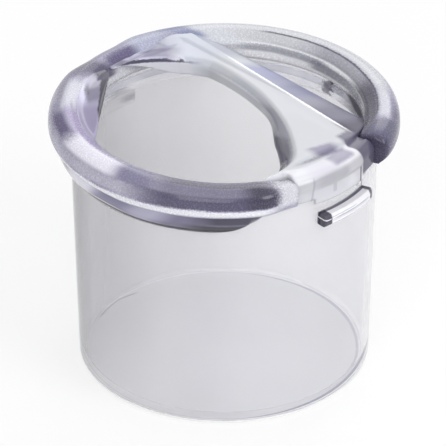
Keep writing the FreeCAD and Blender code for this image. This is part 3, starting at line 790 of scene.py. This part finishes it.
def close(mesh):
    """Fills a mesh's open ends and turns its faces outwards."""
    work = bmesh.new()
    work.from_mesh(mesh)
    bmesh.ops.dissolve_degenerate(work, dist=1e-7, edges=work.edges)
    ends = [edge for edge in work.edges if edge.is_boundary]
    if ends:
        filled = bmesh.ops.holes_fill(work, edges=ends, sides=0)["faces"]
        for face in filled:
            face.smooth = False
        bmesh.ops.triangulate(work, faces=filled)
    bmesh.ops.recalc_face_normals(work, faces=work.faces)
    if work.calc_volume(signed=True) < 0:
        bmesh.ops.reverse_faces(work, faces=work.faces)
    work.to_mesh(mesh)
    work.free()


def softened(name, nodes, voxel, passes, fit=None, shape=None):
    """Mesh of carried solids joined into one moulding with softened edges."""
    work = bmesh.new()
    for node in nodes:
        part = bmesh.new()
        part.from_mesh(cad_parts[node].data)
        bmesh.ops.remove_doubles(part, verts=part.verts, dist=1e-6)
        if fit:
            for vertex in part.verts:
                vertex.co = fit(node, vertex.co)
        copy = bpy.data.meshes.new("part")
        part.to_mesh(copy)
        part.free()
        work.from_mesh(copy)
        bpy.data.meshes.remove(copy)
    mesh = bpy.data.meshes.new(name + "_rough")
    work.to_mesh(mesh)
    work.free()
    rough = bpy.data.objects.new(name + "_rough", mesh)
    bpy.context.scene.collection.objects.link(rough)
    remesh = rough.modifiers.new("Remesh", "REMESH")
    remesh.mode = "VOXEL"
    remesh.voxel_size = voxel
    remesh.use_smooth_shade = True
    smooth = rough.modifiers.new("Smooth", "SMOOTH")
    smooth.factor = 0.5
    smooth.iterations = passes
    result = evaluated(rough, name)
    if shape:
        for vertex in result.vertices:
            vertex.co = shape(vertex.co)
    result.polygons.foreach_set("use_smooth", [True] * len(result.polygons))
    return result


def parted(name, mesh, point, across):
    """Cuts a closed mesh on a plane and closes both halves. The first is the one on the plane's far side."""
    if "lie" not in mesh.attributes:
        whole = [value for vertex in mesh.vertices for value in vertex.normal]
        mesh.attributes.new("lie", "FLOAT_VECTOR", "POINT").data.foreach_set("vector", whole)
    halves = []
    for far in (True, False):
        work = bmesh.new()
        work.from_mesh(mesh)
        bmesh.ops.bisect_plane(work, geom=work.verts[:] + work.edges[:] + work.faces[:], dist=1e-7,
                               plane_co=point, plane_no=across, clear_inner=far, clear_outer=not far)
        ends = [edge for edge in work.edges if edge.is_boundary]
        for face in bmesh.ops.holes_fill(work, edges=ends, sides=0)["faces"]:
            face.smooth = False
        half = bpy.data.meshes.new(name)
        work.to_mesh(half)
        work.free()
        kept = half.attributes["lie"].data
        half.normals_split_custom_set([
            kept[half.loops[corner].vertex_index].vector if face.use_smooth else face.normal
            for face in half.polygons for corner in face.loop_indices])
        halves.append(half)
    bpy.data.meshes.remove(mesh)
    return halves


def place(name, mesh, material, body, slot, *nodes):
    """Adds a finished piece that rides on a body and stands for its solids."""
    mesh.materials.clear()
    mesh.materials.append(material)
    mesh.polygons.foreach_set("material_index", [0] * len(mesh.polygons))
    piece = bpy.data.objects.new(name, mesh)
    bpy.context.scene.collection.objects.link(piece)
    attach(piece, body)
    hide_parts(*nodes)
    return piece


def ease(value, low, high):
    """Smooth step from 0 at low to 1 at high."""
    share = min(1.0, max(0.0, (value - low) / (high - low)))
    return share * share * (3.0 - 2.0 * share)


def radial(co, change):
    """A point moved outwards from the Z axis."""
    reach = math.hypot(co.x, co.y)
    scale = (reach + change) / reach
    return Vector((co.x * scale, co.y * scale, co.z))


# ---------------------------------------------------------------- stage


class WASHERCUP_OT_stage(bpy.types.Operator):
    """Adds the studio floor, backdrop, lamps and camera"""

    bl_idname = "washer_cup.stage"
    bl_label = "Stage"

    def execute(self, context):
        colours = context.scene.washer_cup_colours
        scene = context.scene
        scene.view_settings.view_transform = "Standard"
        floor = bpy.data.meshes.new("floor")
        reach = 3.0
        floor.from_pydata([(-reach, -reach, 0), (reach, -reach, 0), (reach, reach, 0), (-reach, reach, 0)],
            [], [(0, 1, 2, 3)])
        material = blank_material("studio_floor")
        tree = material.node_tree
        place = add(tree, "ShaderNodeTexCoord").outputs["Object"]
        speck = add(tree, "ShaderNodeTexNoise", {"Vector": place, "Scale": 30.0, "Detail": 2.0})
        pale = add(tree, "ShaderNodeMapRange", {"Value": speck.outputs["Fac"], "To Min": 0.97, "To Max": 1.0})
        colour = add(tree, "ShaderNodeMix",
            {"Factor": 1.0, 6: rgba(colours.floor), 7: pale.outputs["Result"]},
                     data_type="RGBA", blend_type="MULTIPLY")
        matte = add(tree, "ShaderNodeBsdfDiffuse", {"Color": colour.outputs[2]})
        white = add(tree, "ShaderNodeEmission", {"Color": (1, 1, 1, 1), "Strength": 1.0})
        path = add(tree, "ShaderNodeLightPath").outputs
        either = add(tree, "ShaderNodeMath", {0: path["Is Camera Ray"], 1: path["Is Glossy Ray"]},
            operation="MAXIMUM")
        seen = add(tree, "ShaderNodeMath", {0: either.outputs[0], 1: path["Is Transmission Ray"]},
            operation="MAXIMUM")
        share = add(tree, "ShaderNodeMath", {0: seen.outputs[0], 1: 0.72}, operation="MULTIPLY")
        mix = add(tree, "ShaderNodeMixShader",
            {0: share.outputs[0], 1: matte.outputs[0], 2: white.outputs[0]})
        add(tree, "ShaderNodeOutputMaterial", {"Surface": mix.outputs[0]})
        floor.materials.append(material)
        plane = bpy.data.objects.new("floor", floor)
        scene.collection.objects.link(plane)

        world = bpy.data.worlds.new("studio")
        scene.world = world
        world.use_nodes = True
        tree = world.node_tree
        tree.nodes.clear()
        aim = add(tree, "ShaderNodeSeparateXYZ",
            {0: add(tree, "ShaderNodeTexCoord").outputs["Generated"]}).outputs
        rear = ramp(tree, aim["Y"], -0.2, 0.6)
        above = ramp(tree, aim["Z"], 0.35, 0.9)
        light = calc(tree, "MAXIMUM", rear, above)
        room = add(tree, "ShaderNodeBackground",
            {"Color": (1, 1, 1, 1), "Strength": blend_value(tree, light, 0.5, 0.7)})
        shown = add(tree, "ShaderNodeBackground",
            {"Color": (1, 1, 1, 1), "Strength": blend_value(tree, light, 0.35, 1.0)})
        white = add(tree, "ShaderNodeBackground", {"Color": (1, 1, 1, 1), "Strength": 1.0})
        path = add(tree, "ShaderNodeLightPath").outputs
        seen = add(tree, "ShaderNodeMath", {0: path["Is Glossy Ray"], 1: path["Is Transmission Ray"]},
            operation="MAXIMUM")
        mix = add(tree, "ShaderNodeMixShader", {0: seen.outputs[0], 1: room.outputs[0], 2: shown.outputs[0]})
        mix = add(tree, "ShaderNodeMixShader",
            {0: path["Is Camera Ray"], 1: mix.outputs[0], 2: white.outputs[0]})
        add(tree, "ShaderNodeOutputWorld", {"Surface": mix.outputs[0]})

        self.lamp(scene, "key", (0.9, -0.7, 0.8), 0.6, 8.0)
        self.lamp(scene, "fill", (-0.25, -1.2, 0.8), 0.8, 7.0)
        self.lamp(scene, "back", (0.3, 1.0, 0.9), 0.8, 4.0)
        self.camera(scene)
        return {"FINISHED"}

    def lamp(self, scene, name, place, size, power):
        light = bpy.data.lights.new(name, "AREA")
        light.size = size
        light.energy = power
        lamp = bpy.data.objects.new(name, light)
        lamp.location = place
        aim = Vector((0, 0, 0.05)) - Vector(place)
        lamp.rotation_euler = aim.to_track_quat("-Z", "Y").to_euler()
        scene.collection.objects.link(lamp)

    def camera(self, scene):
        look = Vector((-0.00033, 0.0, 0.0456))
        tilt = math.radians(31.2)
        data = bpy.data.cameras.new("camera")
        data.sensor_width = 36.0
        data.lens = 382.0
        data.clip_start = 0.05
        camera = bpy.data.objects.new("camera", data)
        camera.location = look + 1.5 * Vector((0, -math.cos(tilt), math.sin(tilt)))
        camera.rotation_euler = (look - camera.location).to_track_quat("-Z", "Y").to_euler()
        scene.collection.objects.link(camera)
        scene.camera = camera


# ---------------------------------------------------------------- pieces


class WASHERCUP_OT_cup(bpy.types.Operator):
    """Adds the clear cup: wall, floor and rounded mouth"""

    bl_idname = "washer_cup.cup"
    bl_label = "Cup"

    def execute(self, context):
        c = context.scene.washer_cup_colours
        s = context.scene.washer_cup_sizes
        top, outer = s.mouth_height, s.mouth_radius
        slope = s.flare / top
        base = outer - s.flare
        low, edge, inner = 1.6 * MM, 0.6 * MM, 1.6 * MM
        foot = base + slope * (s.floor + inner) - s.wall
        a, b = (0.0, 0.15 * MM), (base - low, 0.02 * MM)
        c1, d = (base + slope * low, low), (base + slope * (top - edge), top - edge)
        e, f = (outer - edge, top), (outer - s.wall + edge, top)
        g, h = (d[0] - s.wall, top - edge), (foot, s.floor + inner)
        i, j = (foot - inner, s.floor), (0.0, s.floor)
        section = [a] + line_points(a, b, 12) + corner_points(b, c1, 1, 6) + line_points(c1, d, 24)
        section += corner_points(d, e, 1, 4) + line_points(e, f, 1) + corner_points(f, g, 1, 4)
        section += line_points(g, h, 24) + corner_points(h, i, -1, 8) + line_points(i, j, 12)
        material = wall_finish("clear_wall", c.wall, c.wall_clarity)
        mesh = turned("cup_wall", section, s.segments, material)
        place("cup_wall", mesh, material, "cup", "clear_wall", "cup_body")
        return {"FINISHED"}


class WASHERCUP_OT_lugs(bpy.types.Operator):
    """Adds the two stop lugs with softened edges"""

    bl_idname = "washer_cup.lugs"
    bl_label = "Stop Lugs"

    def execute(self, context):
        s = context.scene.washer_cup_sizes
        material = lug_finish("clear_lug", context.scene.washer_cup_colours.lug)

        def sink(node, co):
            return radial(co, -s.overlap) if math.hypot(co.x, co.y) < s.mouth_radius + 0.2 * MM else co

        for node in ("stop_lug_front", "stop_lug_rear"):
            mesh = softened(node, [node], 0.22 * MM, 3, fit=sink)
            place(node + "_moulded", mesh, material, "cup", "clear_lug", node)
        return {"FINISHED"}


class WASHERCUP_OT_rim(bpy.types.Operator):
    """Adds the frosted rim with its gap and thumb flat"""

    bl_idname = "washer_cup.rim"
    bl_label = "Rim"

    def execute(self, context):
        s = context.scene.washer_cup_sizes
        level, reach = s.rim_height, s.rim_radius
        low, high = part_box("rim_ring")
        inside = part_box("side_web")[0].x * -1
        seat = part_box("plug_sleeve")[1].z
        a, b = (inside, seat), (inside, level + 2.4 * MM)
        c, d = (inside + 0.8 * MM, level + 3.2 * MM), (reach - 4.6 * MM, high.z)
        e, f = (reach, level), (reach - 2.0 * MM, low.z + 0.6 * MM)
        f2, g = (reach - 2.6 * MM, low.z), (s.mouth_radius + 0.45 * MM, low.z)
        h = (g[0], seat)
        crown = ((c[0] + d[0]) / 2 - 0.5 * MM, d[1] - 0.5 * MM)
        brow = (d[0] + 0.76 * (e[0] - d[0]), level + 0.66 * (d[1] - level))
        lip = (f[0] + 0.76 * (e[0] - f[0]), level - 0.66 * (level - f[1]))
        section = [a] + line_points(a, b, 5) + corner_points(b, c, 1, 4) + arc_points(c, crown, d, 10)
        section += arc_points(d, brow, e, 14) + arc_points(e, lip, f, 10) + corner_points(f, f2, 1, 4)
        section += line_points(f2, g, 2) + line_points(g, h, 2) + line_points(h, a, 3)[:-1]
        material = rim_finish("frosted_rim", context.scene.washer_cup_colours, s)
        start = s.gap_angle + s.gap_span / 2
        mesh = turned("frosted_rim", section, s.segments, material, start, math.tau - s.gap_span)
        unroll(mesh, section, s.gap_angle)
        for vertex in mesh.vertices:
            sweep = math.degrees(math.atan2(vertex.co.y, vertex.co.x) - s.gap_angle) % 360.0
            vertex.co = self.shaped(vertex.co, sweep, level, reach)
        flat = Vector((math.cos(s.thumb_angle), math.sin(s.thumb_angle), 0.0))
        limit = reach - s.thumb_depth
        for vertex in mesh.vertices:
            over = vertex.co.dot(flat) - limit
            if over > 0:
                vertex.co -= flat * over
        place("frosted_rim", mesh, material, "lid", "frosted_rim", "rim_ring")
        return {"FINISHED"}

    def shaped(self, co, sweep, level, reach):
        """Lowers the crown at the front, draws its ends in, and bulges the skirt at the front."""
        span = math.hypot(co.x, co.y)
        up = max(0.0, co.z - level)
        change = -1.7 * MM * ease(span, reach - 7.0 * MM, reach - 4.0 * MM)
        change *= ease(18.0 - abs(sweep - 183.5), 0.0, 13.0)
        low = 0.22 * ease(sweep, 268.0, 322.0) * up
        draw = ease(sweep, 325.0, 339.5)
        end = min(1.0, max(0.0, (27.0 - sweep) / 6.5))
        sunk = 1.0 - math.sqrt(1.0 - 0.96 * end * end)
        low += 0.4 * sunk * up
        change -= 0.3 * sunk * max(0.0, span - reach + 4.4 * MM)
        bulge = 0.9 * MM * ease(level - co.z, 2.5 * MM, 5.0 * MM) * ease(sweep, 256.0, 284.0)
        change += bulge * ease(336.0 - sweep, 0.0, 10.0) * (span > reach - 6.0 * MM)
        change -= draw * 0.75 * max(0.0, span - reach + 4.4 * MM)
        low += draw * 0.35 * up
        return radial(co, change) - Vector((0, 0, low))


class WASHERCUP_OT_collars(bpy.types.Operator):
    """Adds the two tinted collars under the rim"""

    bl_idname = "washer_cup.collars"
    bl_label = "Collars"

    def execute(self, context):
        s = context.scene.washer_cup_sizes
        material = collar_finish("tinted_collar", context.scene.washer_cup_colours.collar)
        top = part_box("collar_front")[1].z

        def raise_top(node, co):
            return co + Vector((0, 0, s.overlap)) if co.z > top - 0.05 * MM else co

        for node in ("collar_front", "collar_rear"):
            mesh = softened(node, [node], 0.33 * MM, 2, fit=raise_top)
            place(node + "_moulded", mesh, material, "lid", "tinted_collar", node)
        return {"FINISHED"}


class WASHERCUP_OT_handle(bpy.types.Operator):
    """Adds the clear bar handle with its nose, and the two tinted webs that run on from it"""

    bl_idname = "washer_cup.handle"
    bl_label = "Handle and Webs"

    def execute(self, context):
        s = context.scene.washer_cup_sizes
        colours = context.scene.washer_cup_colours
        self.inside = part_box("side_web")[0].x * -1
        self.low, self.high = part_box("side_web")
        self.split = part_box("rear_web")[1].x
        self.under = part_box("handle_bridge")[0].z
        self.overlap = s.overlap
        mesh = softened("lid_top", ["handle_bridge", "nose_shell", "rear_web", "side_web"], 0.4 * MM, 5,
                        fit=self.join, shape=self.settle)
        corner = Vector((-math.sin(math.radians(145.0)), math.cos(math.radians(145.0)), 0.0))
        bar, webs = parted("bar_and_nose", mesh, Vector((self.split, 0, 0)), Vector((1, 0, 0)))
        side, rear = parted("side_web_moulded", webs, Vector((0, 0, 0)), corner)
        rear.name = "rear_web_moulded"
        place("bar_and_nose", bar, handle_finish("clear_handle", colours), "lid", "clear_handle",
            "handle_bridge", "nose_shell")
        tinted = web_finish("tinted_web", colours)
        place("rear_web_moulded", rear, tinted, "lid", "tinted_web", "rear_web")
        place("side_web_moulded", side, tinted, "lid", "tinted_web", "side_web")
        return {"FINISHED"}

    def join(self, node, co):
        """Runs each part into the ones that carry it, and thickens the rear web towards the bar."""
        reach = math.hypot(co.x, co.y)
        rear = -co.x * math.sin(HANDLE_LIE) + co.y * math.cos(HANDLE_LIE) > 0
        if node == "nose_shell":
            return radial(co, -1.4 * MM) if reach < self.inside + 0.05 * MM else co
        if node == "handle_bridge":
            return radial(co, 2.6 * MM if rear else self.overlap) if reach > self.inside - 0.1 * MM else co
        if node == "side_web" and reach < self.inside - 0.1 * MM:
            co = co + Vector((0.6 * MM, 0, 0))
        if node == "rear_web":
            if co.z < self.low.z + 0.2 * MM:
                near = ease(co.x, self.split - 18.0 * MM, self.split)
                co = Vector((co.x, co.y, self.low.z + (self.under - self.low.z) * near))
            if co.x > self.split - 0.1 * MM:
                co = co + Vector((1.0 * MM, 0, 0))
        return radial(co, 3.2 * MM) if reach > self.inside - 0.1 * MM else co

    def settle(self, co):
        """Slants the large opening's side, leans the slope's edge, lifts the rear end and scoops the webs."""
        reach = math.hypot(co.x, co.y)
        across = co.x * math.cos(HANDLE_LIE) + co.y * math.sin(HANDLE_LIE)
        along = co.x * math.sin(HANDLE_LIE) - co.y * math.cos(HANDLE_LIE)
        web = 1.0 - ease(co.x, self.split - 12.0 * MM, self.split)
        arm = Vector((co.x - BAR_ARC[0], co.y - BAR_ARC[1], 0.0))
        foot = 3.2 * MM * (1.0 - ease(arm.length, 82.0 * MM, 84.5 * MM))
        foot *= 1.0 - ease(co.z, self.under + 0.6 * MM, self.high.z)
        foot *= ease(-co.y, -2.0 * MM, 18.0 * MM) * ease(self.inside - reach, 0.5 * MM, 6.0 * MM)
        co = co - arm.normalized() * foot
        if across > 12.0 * MM and co.z > 84.0 * MM and reach < 47.5 * MM and along < 44.0 * MM:
            edge = 20.1 * MM - SLOPE_LEAN * along
            old = 3.2 * MM * max(0.0, across - 18.4 * MM) / (10.1 * MM)
            new = 3.2 * MM * max(0.0, across - edge) / (28.9 * MM - edge)
            upper = ease(co.z + old, 86.5 * MM, 88.5 * MM)
            lift = 1.1 * MM * ease(-along, 39.0 * MM, 44.0 * MM) * (1.0 - web)
            co = co + Vector((0, 0, (old - new + lift) * upper))
        if web > 0.0:
            upper = ease(co.z, self.low.z, self.high.z)
            edge = math.hypot(co.x - REAR_ARC[0], co.y - REAR_ARC[1]) - REAR_ARC_RADIUS
            worn = 0.0
            if co.x < self.split:
                worn = max(0.0, 1.5 * MM * ease(co.x, self.split - 16.0 * MM, self.split) - max(edge, 0.0))
            drop = 1.0 * MM * ease(reach, 38.5 * MM, self.inside)
            drop -= 0.6 * MM * ease(reach, self.inside, 46.2 * MM)
            drop += 2.0 * MM * ease(reach, 46.3 * MM, 48.0 * MM)
            co = co - Vector((0, 0, (drop * web + worn * (1.0 - web)) * upper))
        return Vector((co.x, co.y, min(co.z, self.high.z + 0.4 * MM)))


class WASHERCUP_OT_plug(bpy.types.Operator):
    """Gives the plug sleeve and its silicone seal their finishes"""

    bl_idname = "washer_cup.plug"
    bl_label = "Plug and Seal"

    def execute(self, context):
        c = context.scene.washer_cup_colours
        seal = plastic("silicone_seal", c.seal, [min(1.0, v * 1.06) for v in c.seal], 0.01, 0.88, (0.3, 0.4),
                       0.001, (0.1, 0.0001), 1.04)
        dress("plug_sleeve", sleeve_finish("clear_sleeve"))
        dress("seal_ring", seal)
        return {"FINISHED"}


def dress(node, material):
    """Gives a carried-over solid its finish."""
    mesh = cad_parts[node].data
    mesh.materials.clear()
    mesh.materials.append(material)
    mesh.polygons.foreach_set("material_index", [0] * len(mesh.polygons))


OPERATORS = (
    WASHERCUP_OT_cup, WASHERCUP_OT_lugs, WASHERCUP_OT_rim, WASHERCUP_OT_collars, WASHERCUP_OT_handle,
    WASHERCUP_OT_plug, WASHERCUP_OT_stage,
)


class WASHERCUP_PT_panel(bpy.types.Panel):
    """Lists the sizes, the colours and the steps that build the cup"""

    bl_idname = "WASHERCUP_PT_panel"
    bl_label = "Washer Cup"
    bl_space_type = "VIEW_3D"
    bl_region_type = "UI"
    bl_category = "Washer Cup"

    def draw(self, context):
        for group in (context.scene.washer_cup_sizes, context.scene.washer_cup_colours):
            box = self.layout.box()
            for name in group.__annotations__:
                box.prop(group, name)
        for operator in OPERATORS:
            self.layout.operator(operator.bl_idname)


CLASSES = (WasherCupColours, WasherCupSizes) + OPERATORS + (WASHERCUP_PT_panel,)


def register():
    for cls in CLASSES:
        bpy.utils.register_class(cls)
    bpy.types.Scene.washer_cup_colours = bpy.props.PointerProperty(type=WasherCupColours)
    bpy.types.Scene.washer_cup_sizes = bpy.props.PointerProperty(type=WasherCupSizes)


def unregister():
    del bpy.types.Scene.washer_cup_sizes
    del bpy.types.Scene.washer_cup_colours
    for cls in reversed(CLASSES):
        bpy.utils.unregister_class(cls)


def main():
    register()
    for step in ("cup", "lugs", "rim", "collars", "handle", "plug", "stage"):
        getattr(bpy.ops.washer_cup, step)()


if __name__ == "__main__":
    main()
